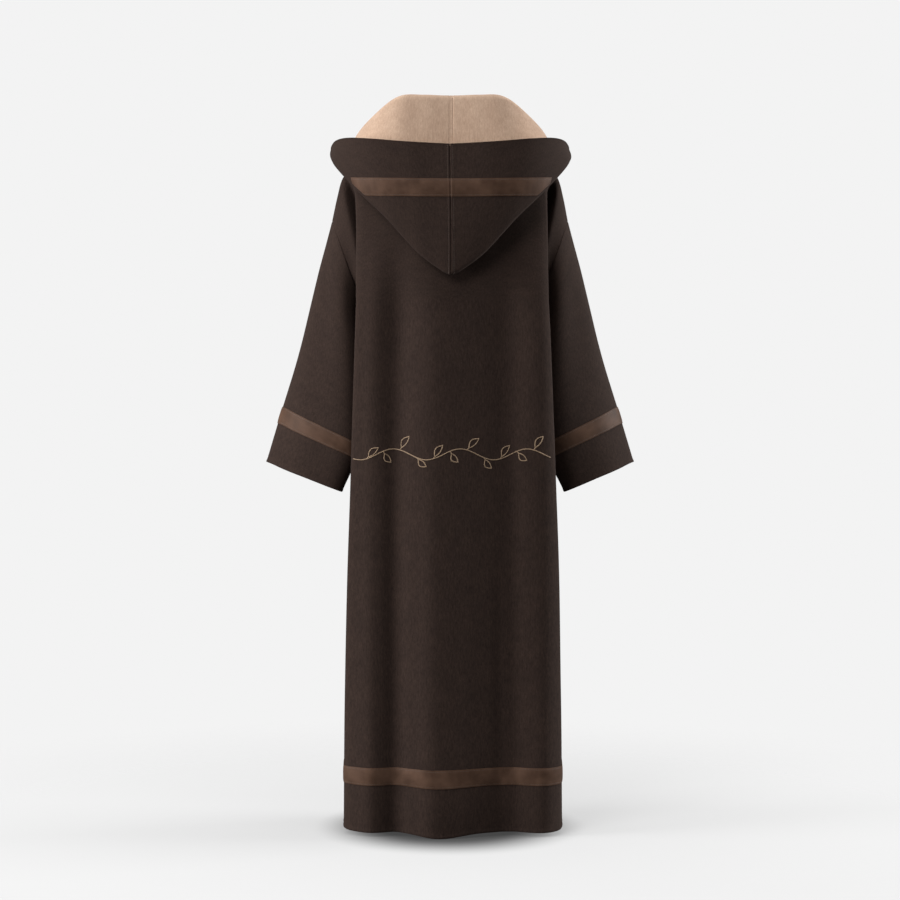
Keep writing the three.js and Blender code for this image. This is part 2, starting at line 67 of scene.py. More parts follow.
def curve_weights(knots: Array, x: Array) -> tuple[Array, list[Array]]:
    """Where each x lies on a smooth curve through knots.

    Args:
        knots: Where the curve's values lie, in rising order.
        x: Where to read the curve.

    Returns:
        The step that each x lies in, and its weights there: of the step's two values, and of its two slopes.
    """
    i = np.clip(np.searchsorted(knots, x, side="left") - 1, 0, len(knots) - 2)
    step = knots[i + 1] - knots[i]
    t = (x - knots[i]) / step
    t2, t3 = t * t, t * t * t
    return i, [2 * t3 - 3 * t2 + 1, 3 * t2 - 2 * t3, (t3 - 2 * t2 + t) * step, (t3 - t2) * step]


def knot_slopes(knots: Array, values: Array) -> Array:
    """The slope of a smooth curve at each knot, from the knots next to it. Each row of values is one knot's."""
    index = np.arange(len(knots))
    before, after = np.maximum(index - 1, 0), np.minimum(index + 1, len(knots) - 1)
    return (values[after] - values[before]) / (knots[after] - knots[before])[:, None]


def smooth_through(knots: Sequence[float], values: Array, x: Array) -> Array:
    """Smooth curves through values at knots, one curve for each x, each read at its own x.

    Args:
        knots: Where the values lie, in rising order.
        values: A row for each knot, as long as x.
        x: Where to read the curves.

    Returns:
        Each curve's value.
    """
    k, v = np.asarray(knots, float), np.asarray(values, float)
    i, (first, second, leaving, coming) = curve_weights(k, x)
    slope = knot_slopes(k, v)
    n = np.arange(x.size)
    return first * v[i, n] + second * v[i + 1, n] + leaving * slope[i, n] + coming * slope[i + 1, n]


def ease(t: Array) -> Array:
    """Rises smoothly from 0 at 0 to 1 at 1."""
    c = np.clip(t, 0, 1)
    return c * c * (3 - 2 * c)


def mix(a: Array, b: Array, t: Array) -> Array:
    """The point a share t of the way from a to b."""
    return a + (b - a) * t


def bump(distance: Array, width: Array | float) -> Array:
    """A soft hump, 1 at distance 0 and nearly 0 past twice its width."""
    return np.exp(-((distance / width) ** 2))


def spaced(*stretches: tuple[float, float, int]) -> Array:
    """Places along a line. Each stretch gives its first place, its last and how many it has."""
    return np.unique(np.concatenate([np.linspace(*stretch) for stretch in stretches]))


def run_along(points: Array) -> Array:
    """How far along a line each of its points lies."""
    return np.r_[0, np.cumsum(np.linalg.norm(np.diff(points, axis=0), axis=1))]


def read_along(at: Array, run: Array, values: Array) -> Array:
    """Rows of values that lie at the places run, read at other places."""
    return np.stack([np.interp(at, run, column) for column in values.T], axis=1)


@dataclass(frozen=True)
class CuttingTable:
    """Rows of named measurements, read smoothly along the first of them."""

    names: str
    rows: tuple[tuple[float, ...], ...]

    def read(self, at: Array) -> dict[str, Array]:
        """Every named measurement at each place along the table.

        Args:
            at: Places along the table's first column.

        Returns:
            The measurements at each place, in millimetres, by name.
        """
        table = np.array(self.rows, float)
        knots, values = table[:, 0], table[:, 1:]
        i, weights = curve_weights(knots, at)
        first, second, leaving, coming = (w[:, None] for w in weights)
        slope = knot_slopes(knots, values)
        found = first * values[i] + second * values[i + 1] + leaving * slope[i] + coming * slope[i + 1]
        return dict(zip(self.names.split()[1:], found.T))

    def points(self, at: Array, names: str = "xyz") -> Array:
        """The points that three of the measurements give at each place."""
        found = self.read(at)
        return np.stack([found[name] for name in names], axis=1)


@dataclass(frozen=True)
class Fold:
    """A hanging fold of the cloth: a ridge where out is positive, and a trough where it is negative."""

    at: float
    out: float
    hem: float
    left: float
    right: float
    top: float
    lean: float = 0.0

    def height(self, place: Array, z: Array) -> Array:
        """How far the fold moves the cloth out at each place along it and each height."""
        away = place - self.at - self.lean * (z - self.top) * MM
        depth = mix(self.out, self.hem, ease((FOLDS_FREE - z) / (FOLDS_FREE - FOLDS_FULL)))
        return depth * bump(away, np.where(away < 0, self.left, self.right)) * ease((self.top - z) / FOLD_RISE)


@dataclass(frozen=True)
class BodyCut:
    """The body of the robe: one back panel and two fronts, on a hollow worn form."""

    hem_z: float = -1414.0
    underarm_z: float = -330.0
    side_at: float = 325.0
    front_at: float = 580.0
    edge_at: float = 214.0
    neck_back_at: float = 95.0
    neck_front_at: float = 492.0
    hang: float = 6.0
    back_hang: float = 4.0
    gap_top: float = 4.0
    gap_hem: float = 16.0
    armhole_deep: float = 75.0
    tuck_at: float = 244.0
    tuck_wide: float = 19.0
    tuck_deep: float = 40.0
    tuck_in: float = 9.0
    underarm_x: float = 182.0
    shoulder_end_x: float = 247.0
    armhole_from: float = 0.62
    roll_in: float = 3.0
    roll_wide: float = 4.0
    hem_roll: float = 0.9
    front_roll: float = 0.8
    seam_dip: float = -1.5
    seam_wide: float = 3.5
    dip_at: float = -22.0
    dip_wide: float = 46.0
    dip_deep: float = 8.0
    lift_at: float = 258.0
    lift_wide: float = 38.0
    lift_high: float = 10.0
    swing_high: float = 170.0
    cloth_at: tuple[float, ...] = (0, 100, 182, 214, 252, 325, 372, 418, 492, 580)
    form: CuttingTable = CuttingTable(
        "z back half edge soft tuck turn side chest corner front",
        (
            (-1414, 136, 217, 98, 36, -6, 34, 229, 219, 66, 131),
            (-1150, 140, 217, 98, 36, -2, 34, 225, 213, 68, 131),
            (-900, 145, 215, 102, 34, 8, 36, 210, 197, 72, 130),
            (-700, 149, 209, 108, 30, 20, 38, 184, 175, 76, 129),
            (-500, 150, 202, 114, 26, 25, 38, 160, 160, 76, 127),
            (-415, 149, 199, 114, 25, 24, 37, 163, 162, 72, 125),
            (-330, 147, 196, 114, 24, 17, 34, 182, 172, 66, 122),
        ),
    )
    neckline: CuttingTable = CuttingTable(
        "q x y z",
        (
            (0, 0, -79, 7),
            (0.13, 30, -76, 7),
            (0.26, 57, -64, 6),
            (0.39, 77, -42, 4),
            (0.52, 88, -8, 0),
            (0.66, 86, 27, -14),
            (0.82, 62, 64, -47),
            (1, 2, 92, -88),
        ),
    )
    shoulder: CuttingTable = CuttingTable(
        "r x y z",
        (
            (0, 88, -8, 0),
            (0.24, 140, -7, -17),
            (0.5, 197, -5, -42),
            (0.66, 224, -3, -62),
            (0.82, 237, -1, -105),
            (1, 247, 0, -153),
        ),
    )
    folds: tuple[Fold, ...] = (
        Fold(-170, 3, 4, 20, 22, -150),
        Fold(-114, -16, -20, 31, 36, -150),
        Fold(-32, 9, 16, 40, 56, -190),
        Fold(112, -18, -22, 68, 44, -150),
        Fold(188, 9, 12, 40, 24, -170),
        Fold(-545, 6, 10, 26, 26, -420),
        Fold(-478, -14, -19, 34, 28, -230),
        Fold(-405, 7, 10, 24, 28, -420),
        Fold(396, 6, 9, 28, 26, -460),
        Fold(455, -13, -18, 28, 36, -240),
        Fold(530, 8, 12, 30, 28, -380),
    )
    creases: tuple[Fold, ...] = (
        Fold(-62, -1.6, -1.2, 13, 13, -620, 10),
        Fold(-142, 1.4, 1.8, 12, 12, -480, -8),
        Fold(34, 1.6, 2.2, 16, 16, -560, 14),
        Fold(84, -1.5, -2.0, 12, 12, -760, -10),
        Fold(148, 1.6, 1.2, 13, 13, -420, 6),
        Fold(-232, 2.2, 2.6, 12, 12, -560, 0),
        Fold(236, 2.0, 2.4, 12, 12, -640, 0),
        Fold(-290, -2.4, -3.0, 18, 18, -700, 0),
        Fold(288, -2.2, -3.2, 18, 18, -620, 0),
        Fold(-442, 1.8, 2.2, 12, 12, -640, 12),
        Fold(-512, -1.7, -2.4, 13, 13, -520, -8),
        Fold(428, 1.6, 2.4, 12, 12, -560, -10),
        Fold(492, 1.9, 2.2, 14, 14, -700, 8),
        Fold(560, -1.6, -2.0, 12, 12, -520, 4),
    )

    def outline(self, at: Array, z: Array) -> tuple[Array, Array]:
        """The plan of the filled-out body.

        Args:
            at: Places along the cloth from the centre back, in millimetres.
            z: Heights.

        Returns:
            X and Y of each place, on the wearer's right.
        """
        low = np.maximum(z, self.hem_z)
        f = self.form.read(low)
        gap = mix(self.gap_top, self.gap_hem, np.clip(z / self.hem_z, 0, 1)) / 2
        zero = np.zeros_like(z)
        xs = [
            zero,
            f["half"] * 0.5,
            f["half"] - f["soft"],
            f["half"],
            f["half"] - f["tuck"],
            f["side"],
            f["chest"] + 2,
            f["chest"] - 22,
            f["chest"] * 0.5,
            gap,
        ]
        ys = [
            -f["back"],
            -(f["back"] - 2),
            -(f["edge"] + f["soft"] * 0.62),
            -f["edge"],
            -(f["edge"] - f["turn"]),
            zero,
            f["corner"] * 0.62,
            f["corner"] + 20,
            f["front"] - 3,
            f["front"],
        ]
        return (
            smooth_through(self.cloth_at, np.array(xs), at),
            smooth_through(self.cloth_at, np.array(ys), at),
        )

    def neck_point(self, q: Array) -> Array:
        """A point on the neckline at each share q, from the centre back to the centre front."""
        stops = np.unique(np.round(np.r_[np.linspace(0, 0.52, 5), np.linspace(0.52, 1, 6)], 9))
        knots = self.neckline.points(stops)
        return read_along(q, stops, knots)

    def shoulder_point(self, r: Array) -> Array:
        """A point on the shoulder seam at each share r, from the neckline to the sleeve."""
        return self.shoulder.points(r)

    def top_edge(self, at: Array, front: Array) -> Array:
        """The top edge of a panel above each place along the cloth.

        Args:
            at: Places along the cloth from the centre back.
            front: True where the place is on a front panel.

        Returns:
            One point for each place.
        """
        neck_at = np.where(front, self.neck_front_at, self.neck_back_at)
        centre_at = np.where(front, self.front_at, 0)
        edge_at = np.where(front, self.side_at + (self.side_at - self.edge_at) * 0.8, self.edge_at)
        from_centre = (at - centre_at) / (neck_at - centre_at)
        inner = (at - neck_at) / (edge_at - neck_at)
        past = (at - edge_at) / (self.side_at - edge_at)
        share = np.clip(from_centre, 0, 1)
        on_neck = self.neck_point(np.where(front, mix(1, 0.52, share), mix(0, 0.52, share)))
        r = np.where(inner <= 1, 0.5 * inner, mix(0.5, 1, past))
        on_shoulder = self.shoulder_point(np.clip(r, 0, 1))
        on_shoulder[:, 1] += np.where(front, 0.25, -0.25)
        return np.where((from_centre <= 1)[:, None], on_neck, on_shoulder)

    def yoke(self, at: Array, v: Array, front: Array) -> Array:
        """The body above the underarm, at height share v from the underarm to the top edge."""
        low = np.full_like(at, self.underarm_z)
        x0, y0 = self.outline(at, low)
        top = self.top_edge(at, front)
        to_side = np.where(front, (self.front_at - at) / (self.front_at - self.side_at), at / self.side_at)
        round_off = 1 - np.sqrt(np.maximum(1 - v * v, 0))
        rounding = mix(v**3, round_off, ease(to_side / 0.42))
        arm_x = mix(self.underarm_x, self.shoulder_end_x, v)
        arm_y = np.where(front, 2, -2) * self.armhole_deep * np.sqrt(np.maximum(v * (1 - v), 0))
        end = self.top_edge(np.full_like(at, self.side_at), front)
        reach = np.clip((to_side - self.armhole_from) / (1 - self.armhole_from), 0, 1) ** 1.4
        tuck = bump(at - self.tuck_at, self.tuck_wide) * ease(v / 0.3) * (1 - v**8)
        end_x = mix(self.underarm_x, end[:, 0], v**3)
        return np.stack(
            [
                mix(x0, top[:, 0], v**3) + reach * (arm_x - end_x) - self.tuck_in * tuck,
                mix(y0, top[:, 1], rounding) + reach * (arm_y - end[:, 1] * rounding) + self.tuck_deep * tuck,
                mix(self.underarm_z, top[:, 2], v),
            ],
            axis=1,
        )

    def base(self, at: Array, level: Array, front: Array) -> Array:
        """The body without its folds: level 0 is the hem, 1 the underarm and 2 the top edge."""
        z = mix(self.hem_z, self.underarm_z, np.minimum(level, 1))
        x, y = self.outline(at, z)
        skirt = np.stack([x, y, z], axis=1)
        above = self.yoke(at, np.clip(level - 1, 0, 1), front)
        return np.where((level > 1)[:, None], above, skirt)

    def point(self, at: Array, level: Array) -> Array:
        """The outer face of the body, with its folds.

        Args:
            at: Places along the cloth, positive to the wearer's right.
            level: Heights, from 0 at the hem to 2 at the top edge.

        Returns:
            One point for each place, in millimetres.
        """
        side = np.where(at < 0, -1.0, 1.0)
        place = np.abs(at)
        front = place > self.side_at
        here = self.base(place, level, front)
        before = self.base(np.maximum(place - 1.5, 0), level, front)
        after = self.base(np.minimum(place + 1.5, self.front_at), level, front)
        along = after - before
        length = np.maximum(np.hypot(along[:, 0], along[:, 1]), 1e-6)
        z = here[:, 2]
        out = sum(f.height(at, z) for f in self.folds + self.creases)
        out = out + self.edge_shape(place, level)
        free = (1 - ease((place - self.edge_at) / (self.side_at - self.edge_at))) * ease(-z / 200)
        hang = mix(self.back_hang * free, self.hang, ease((self.underarm_z - z) / 600))
        return np.stack(
            [
                side * (here[:, 0] + along[:, 1] / length * out) + hang,
                here[:, 1] - along[:, 0] / length * out,
                z + self.hem_dip(at, level),
            ],
            axis=1,
        )

    def edge_shape(self, place: Array, level: Array) -> Array:
        """How the cloth rolls at its free edges and dips into its seams."""
        up_from_hem = level * (self.underarm_z - self.hem_z)
        hem = self.hem_roll * bump(up_from_hem - self.roll_in, self.roll_wide)
        front = self.front_roll * bump(self.front_at - place - self.roll_in, self.roll_wide)
        side_seam = self.seam_dip * bump(place - self.side_at, self.seam_wide) * (level < 1.02)
        return hem + front + side_seam

    def hem_dip(self, at: Array, level: Array) -> Array:
        """How the hem swings lower at the middle of the back and rises where it turns to the side."""
        up_from_hem = level * (self.underarm_z - self.hem_z)
        lift = self.lift_high * bump(np.abs(at) - self.lift_at, self.lift_wide)
        dip = self.dip_deep * bump(at - self.dip_at, self.dip_wide)
        return (lift - dip) * ease(1 - up_from_hem / self.swing_high)

    def on_back(self, x: Array, z: Array) -> tuple[Array, Array]:
        """Points on the back panel that lie behind the given places.

        Args:
            x: Distances to the wearer's right of the middle.
            z: Heights, below the underarm.

        Returns:
            The points, and the cloth's outward direction at each.
        """
        level = (z - self.hem_z) / (self.underarm_z - self.hem_z)
        trial = np.linspace(-228, 228, 458)
        steps = np.linspace(level.min(), level.max() + 1e-6, 16)
        found = np.array([np.interp(x, self.point(trial, np.full_like(trial, step))[:, 0], trial) for step in steps])
        place = (level - steps[0]) / (steps[1] - steps[0])
        below = np.minimum(place.astype(int), len(steps) - 2)
        n = np.arange(x.size)
        at = mix(found[below, n], found[below + 1, n], place - below)
        return self.point(at, level), outward(self.point, at, level, 1.0, 0.002)


@dataclass(frozen=True)
class SleeveCut:
    """A wide straight sleeve with a dropped seam."""

    side: Side
    inner_turn: float
    length: float = 524.0
    start: float = 0.8
    cuff_band_above: float = 85.0
    band_width: float = 36.0
    flatter: float = 0.32
    flat_below: float = 170.0
    faces_out: float = 0.4
    form: CuttingTable = CuttingTable(
        "w out_x out_z in_x in_z deep y",
        (
            (0, 247, -153, 182, -330, 75, 0),
            (61, 262, -212, 189, -366, 72, 1),
            (172, 290, -320, 188, -440, 65, 5),
            (296, 322, -440, 184, -534, 58, 12),
            (417, 359, -556, 194, -634, 52, 23),
            (524, 391, -659, 233, -722, 46, 34),
        ),
    )

    def point(self, turn: Array, w: Array) -> Array:
        """The sleeve's outer face, w along it and turn round it from its outer line."""
        f = self.form.read(w)
        cuff = ease((w - 300) / (self.length - 300))
        across = np.cos(turn)
        in_x = f["in_x"] + cuff * self.inner_turn
        soft = 1.6 * np.sin(3 * turn + w / 150) * ease(w / 120) + 0.9 * np.sin(5 * turn - w / 90 + 1) * ease(w / 160)
        roll = 0.9 * bump(self.length - w - 3, 4) - 1.0 * bump(w, 3)
        deep = f["deep"] + soft + roll
        flat = 1 - self.flatter * ease(w / self.flat_below)
        spread = 1 + 2 * (soft + roll) / np.maximum(f["out_x"] - in_x, 1)
        middle_x, half_x = (f["out_x"] + in_x) / 2, (f["out_x"] - in_x) / 2
        outwards = self.faces_out * ease(w / self.flat_below) * half_x * across
        return np.stack(
            [
                self.side.value * (middle_x + half_x * across * spread),
                f["y"] - deep * np.sign(np.sin(turn)) * np.abs(np.sin(turn)) ** flat + outwards,
                mix(f["in_z"], f["out_z"], (1 + across) / 2),
            ],
            axis=1,
        )


@dataclass(frozen=True)
class HoodCut:
    """Half of the hood, which stands up from the neck, rolls over and hangs as a bag on the back."""

    side: Side
    body: BodyCut
    seam: float = 0.2
    neck_rise: float = 1.1
    inset: float = 0.985
    stand: float = 10.0
    roll_radius: float = 8.0
    fold_radius: float = 9.0
    side_u: float = 0.56
    band_top: float = -91.0
    band_rise: float = 10.0
    band_end_u: float = 0.45
    band_width: float = 36.0
    swing: float = 2.5
    row_at: float = 5.4
    lining_row_at: float = 3.6
    look: float = 0.004
    profile_at: tuple[float, ...] = (0, 0.02, 0.12, 0.145, 0.17, 0.36, 0.57, 0.6, 0.63, 0.81, 1)
    form: CuttingTable = CuttingTable(
        "u roll_x roll_y roll_z fold_x fold_y fold_z brim_x brim_y brim_z",
        (
            (0, 0, -104, 88, 0, -173, -282, 0, -206, -22),
            (0.04, 17, -105, 88, 18, -173, -274, 30, -206, -20.6),
            (0.14, 55, -107, 89, 66, -172, -238, 92, -206, -17),
            (0.28, 104, -104, 87, 130, -166, -168, 165, -190, -9),
            (0.42, 148, -82, 59, 184, -144, -114, 214, -148, -2),
            (0.56, 190, -34, 22, 229, -92, -62, 240, -84, -3),
            (0.7, 188, 24, 4, 235, -4, -42, 245, 0, -14),
            (0.85, 136, 78, -28, 182, 76, -70, 200, 92, -47),
            (1, 16, 112, -62, 40, 126, -100, 46, 140, -80),
        ),
    )

    def base(self, u: Array, s: Array) -> Array:
        """The wearer's right half of the hood: u round the neck and s from the neck seam to the brim."""
        f = self.form.read(u)
        q = np.where(u < self.side_u, 0.52 * u / self.side_u, mix(0.52, 1, (u - self.side_u) / (1 - self.side_u)))
        neck = self.body.neck_point(q) * np.array([self.inset, self.inset, 1]) + np.array([0, 0, self.neck_rise])
        roll, fold, brim = (np.stack([f[f"{n}_{k}"] for k in "xyz"], axis=1) for n in ("roll", "fold", "brim"))
        size = (ease((1 - u) / 0.3) * 0.1 + 0.9)[:, None]
        flat = (brim - roll) * np.array([1, 1, 0])
        outwards = flat / np.maximum(np.linalg.norm(flat, axis=1, keepdims=True), 1e-6) * size
        up = np.array([0, 0, 1]) * size
        roll_out, fold_out = outwards * self.roll_radius, outwards * self.fold_radius
        roll_in = roll - roll_out - up * self.roll_radius
        roll_back = roll + roll_out - up * self.roll_radius
        fold_in = fold - fold_out + up * self.fold_radius
        fold_back = fold + fold_out + up * self.fold_radius
        under = (roll_back + fold_in) / 2
        face = (fold_back + brim) / 2 + fold_out / 2
        stand = neck + up * self.stand
        points = [neck, stand, roll_in, roll, roll_back, under, fold_in, fold, fold_back, face, brim]
        lines = (np.array([p[:, k] for p in points]) for k in range(3))
        return np.stack([smooth_through(self.profile_at, line, s) for line in lines], axis=1)

    def point(self, u: Array, s: Array) -> Array:
        """The hood's outer face on this half. A u below 0 lies on the other half."""
        p = self.base(np.abs(u), s)
        sign = np.where(u < 0, -1.0, 1.0) * self.side.value
        x = np.maximum(p[:, 0], 0) + self.seam
        swing = self.swing * ease(s / 0.12) * ease((1 - s) / 0.3) * ease((1 - np.abs(u)) / 0.5)
        return np.stack([sign * x + swing, p[:, 1], p[:, 2]], axis=1)

    def from_seam(self, u: Array, s: Array) -> Array:
        """How far each place lies from the seam over the middle of the hood."""
        return np.maximum(self.base(np.abs(u), s)[:, 0], 0)

    def band_place(self, u: Array, share: Array) -> Array:
        """The place along the profile of each point of the band, which hangs level across the back.

        Args:
            u: Places round the neck.
            share: 0 at the band's lower edge and 1 at its upper edge.

        Returns:
            One place along the profile for each point.
        """
        trial = np.linspace(0.62, 1, 120)
        wanted = self.band_top + self.band_rise * (u / self.band_end_u) ** 2 - self.band_width * (1 - share)
        columns, which = np.unique(u, return_inverse=True)
        points = self.point(np.repeat(columns, trial.size), np.tile(trial, columns.size))
        heights = points[:, 2].reshape(-1, trial.size)
        places = np.empty_like(u)
        for k, height in enumerate(heights):
            here = which == k
            places[here] = np.interp(wanted[here], height, trial)
        return np.maximum(places, 0.64 + 0.03 * share)


def outward(surface: Surface, a: Array, b: Array, step_a: float, step_b: float) -> Array:
    """The direction out of a surface at each point, from points a little to each side."""
    along_a = surface(a + step_a, b) - surface(a - step_a, b)
    along_b = surface(a, b + step_b) - surface(a, b - step_b)
    normal = np.cross(along_a, along_b)
    return normal / np.maximum(np.linalg.norm(normal, axis=1, keepdims=True), 1e-9)


class Sewing:
    """Makes flat cloth into shaped pieces, each from one plain grid."""

    @staticmethod
    def deselect() -> None:
        """Clears the selection, so that an operator acts on the new piece alone."""
        bpy.ops.object.select_all(action="DESELECT")

    @staticmethod
    def activate(piece: bpy.types.Object) -> None:
        """Makes a piece the selected and active one."""
        Sewing.deselect()
        piece.select_set(True)
        bpy.context.view_layer.objects.active = piece

    @staticmethod
    def apply(piece: bpy.types.Object, kind: str, **settings: object) -> None:
        """Adds a modifier with the given settings and applies it.

        Args:
            piece: The piece to change.
            kind: The modifier's type.
            settings: Values for the modifier's own settings.
        """
        Sewing.activate(piece)
        bpy.ops.object.modifier_add(type=kind)
        modifier = piece.modifiers[-1]
        for name, value in settings.items():
            setattr(modifier, name, value)
        bpy.ops.object.modifier_apply(modifier=modifier.name)

    @staticmethod
    def sheet(
        name: str,
        surface: Surface,
        a: Array,
        b: Array,
        flat: tuple[float, float],
        thick: float,
        grow: float = -1.0,
        flip: bool = False,
        closed: bool = False,
    ) -> bpy.types.Object:
        """Shapes one grid into a piece of cloth with a wall.

        Args:
            name: The piece's name.
            surface: Gives the outer face's points, in millimetres.
            a: The places of the grid's columns.
            b: The places of its rows.
            flat: The cut's width and length in metres, which its UV map keeps.
            thick: The cloth's thickness in millimetres.
            grow: -1 to thicken inwards from the face, or 1 outwards.
            flip: Whether the grid's faces have to be turned round.
            closed: Whether the first and last columns are the same line, as on a tube.

        Returns:
            The finished piece.
        """
        Sewing.deselect()
        bpy.ops.mesh.primitive_grid_add(x_subdivisions=len(a) - 1, y_subdivisions=len(b) - 1, size=1)
        piece = bpy.context.active_object
        piece.name = piece.data.name = name
        mesh = piece.data
        co = np.empty(len(mesh.vertices) * 3)
        mesh.vertices.foreach_get("co", co)
        co = co.reshape(-1, 3)
        column = np.rint((co[:, 0] + 0.5) * (len(a) - 1)).astype(int)
        row = np.rint((co[:, 1] + 0.5) * (len(b) - 1)).astype(int)
        points = surface(np.asarray(a, float)[column], np.asarray(b, float)[row]) * MM
        mesh.vertices.foreach_set("co", points.ravel())
        share_a = (a - a[0]) / (a[-1] - a[0])
        share_b = (b - b[0]) / (b[-1] - b[0])
        corner = np.empty(len(mesh.loops), int)
        mesh.loops.foreach_get("vertex_index", corner)
        uv = np.stack([share_a[column] * flat[0], share_b[row] * flat[1]], axis=1)[corner]
        mesh.uv_layers.active.data.foreach_set("uv", uv.ravel())
        mesh.update()
        bpy.ops.object.mode_set(mode="EDIT")
        bpy.ops.mesh.select_all(action="SELECT")
        if closed:
            bpy.ops.mesh.remove_doubles(threshold=1e-5)
        if flip:
            bpy.ops.mesh.flip_normals()
        bpy.ops.object.mode_set(mode="OBJECT")
        Sewing.apply(piece, "SOLIDIFY", thickness=thick * MM, offset=grow, use_even_offset=False)
        width = min(0.3 * thick, 0.8) * MM
        Sewing.apply(piece, "BEVEL", width=width, segments=2, limit_method="ANGLE", angle_limit=1.0)
        Sewing.activate(piece)
        bpy.ops.object.shade_smooth()
        return piece

    @staticmethod
    def stitches(
        name: str,
        runs: Sequence[tuple[Array, Array]],
        pitch: float,
        long: float,
        wide: float,
        high: float,
        slant: float = 0.0,
    ) -> bpy.types.Object:
        """Sets one modelled stitch again and again along some lines, all in one mesh.

        Args:
            name: The piece's name.
            runs: For each line, its points in millimetres and the outward direction at each.
            pitch: The distance from one stitch to the next, in millimetres.
            long: A stitch's length.
            wide: Its width.
            high: How high it stands.
            slant: How far it is turned off the line, in radians.

        Returns:
            The finished stitches.
        """
        Sewing.deselect()
        bpy.ops.mesh.primitive_uv_sphere_add(segments=6, ring_count=5, radius=0.5)
        one = bpy.context.active_object
        shape = np.array([v.co[:] for v in one.data.vertices])
        faces = [tuple(p.vertices) for p in one.data.polygons]
        bpy.ops.object.delete()
        shape = shape[:, [2, 0, 1]] * np.array([long, wide, high])
        shape[:, 2] -= 0.5 * high * (2 * shape[:, 0] / long) ** 2
        turned = shape.copy()
        turned[:, 0] = shape[:, 0] * np.cos(slant) - shape[:, 1] * np.sin(slant)
        turned[:, 1] = shape[:, 0] * np.sin(slant) + shape[:, 1] * np.cos(slant)
        look = 0.4
        blocks = []
        for points, normals in runs:
            run = run_along(points)
            count = max(int(run[-1] / pitch), 1)
            at = (np.arange(count) + 0.5) * run[-1] / count
            here = read_along(at, run, points)
            up = read_along(at, run, normals)
            up /= np.linalg.norm(up, axis=1, keepdims=True)
            along = read_along(at + look, run, points) - read_along(at - look, run, points)
            along -= up * np.sum(along * up, axis=1, keepdims=True)
            along /= np.linalg.norm(along, axis=1, keepdims=True)
            across = np.cross(up, along)
            axes = np.stack([along, across, up], axis=1)
            blocks.append(np.einsum("vk,nkj->nvj", turned, axes) + here[:, None, :])
        every = np.concatenate(blocks)
        vertices = every.reshape(-1, 3) * MM
        starts = np.arange(len(every)) * len(shape)
        all_faces = [tuple(int(i + start) for i in face) for start in starts for face in faces]
        mesh = bpy.data.meshes.new(name)
        mesh.from_pydata(vertices.tolist(), [], all_faces)
        piece = bpy.data.objects.new(name, mesh)
        bpy.context.collection.objects.link(piece)
        Sewing.activate(piece)
        bpy.ops.object.shade_smooth()
        return piece


class Graph:
    """A node tree that is being built."""

    def __init__(self, tree: bpy.types.NodeTree) -> None:
        """Starts from a tree, which may hold nodes already."""
        self.nodes, self.links = tree.nodes, tree.links

    @staticmethod
    def material(name: str) -> tuple[bpy.types.Material, "Graph", Node]:
        """A new material, its graph and its shader."""
        made = bpy.data.materials.new(name)
        made.use_nodes = True
        return made, Graph(made.node_tree), made.node_tree.nodes["Principled BSDF"]

    @staticmethod
    def fill(node: Node, values: dict[str | int, object]) -> Node:
        """Sets some of a node's inputs."""
        for name, value in values.items():
            node.inputs[name].default_value = value
        return node

    def add(self, kind: str, values: dict[str | int, object] | None = None) -> Node:
        """Adds a node, with some of its inputs."""
        return self.fill(self.nodes.new(kind), values or {})

    def math(self, operation: str, values: dict[str | int, object] | None = None) -> Node:
        """Adds a math node, with some of its inputs."""
        node = self.add("ShaderNodeMath", values)
        node.operation = operation
        return node

    def ramp(self, dark: Sequence[float], light: Sequence[float], low: float, high: float) -> Node:
        """Adds a colour ramp from a dark to a light shade."""
        ramp = self.add("ShaderNodeValToRGB")
        first, last = ramp.color_ramp.elements
        first.position, last.position = low, high
        first.color, last.color = (*dark, 1), (*light, 1)
        return ramp

    def join(self, start: Node, output: str | int, *ends: tuple[Node, str | int]) -> None:
        """Links an output to an input or more."""
        for node, into in ends:
            self.links.new(start.outputs[output], node.inputs[into])


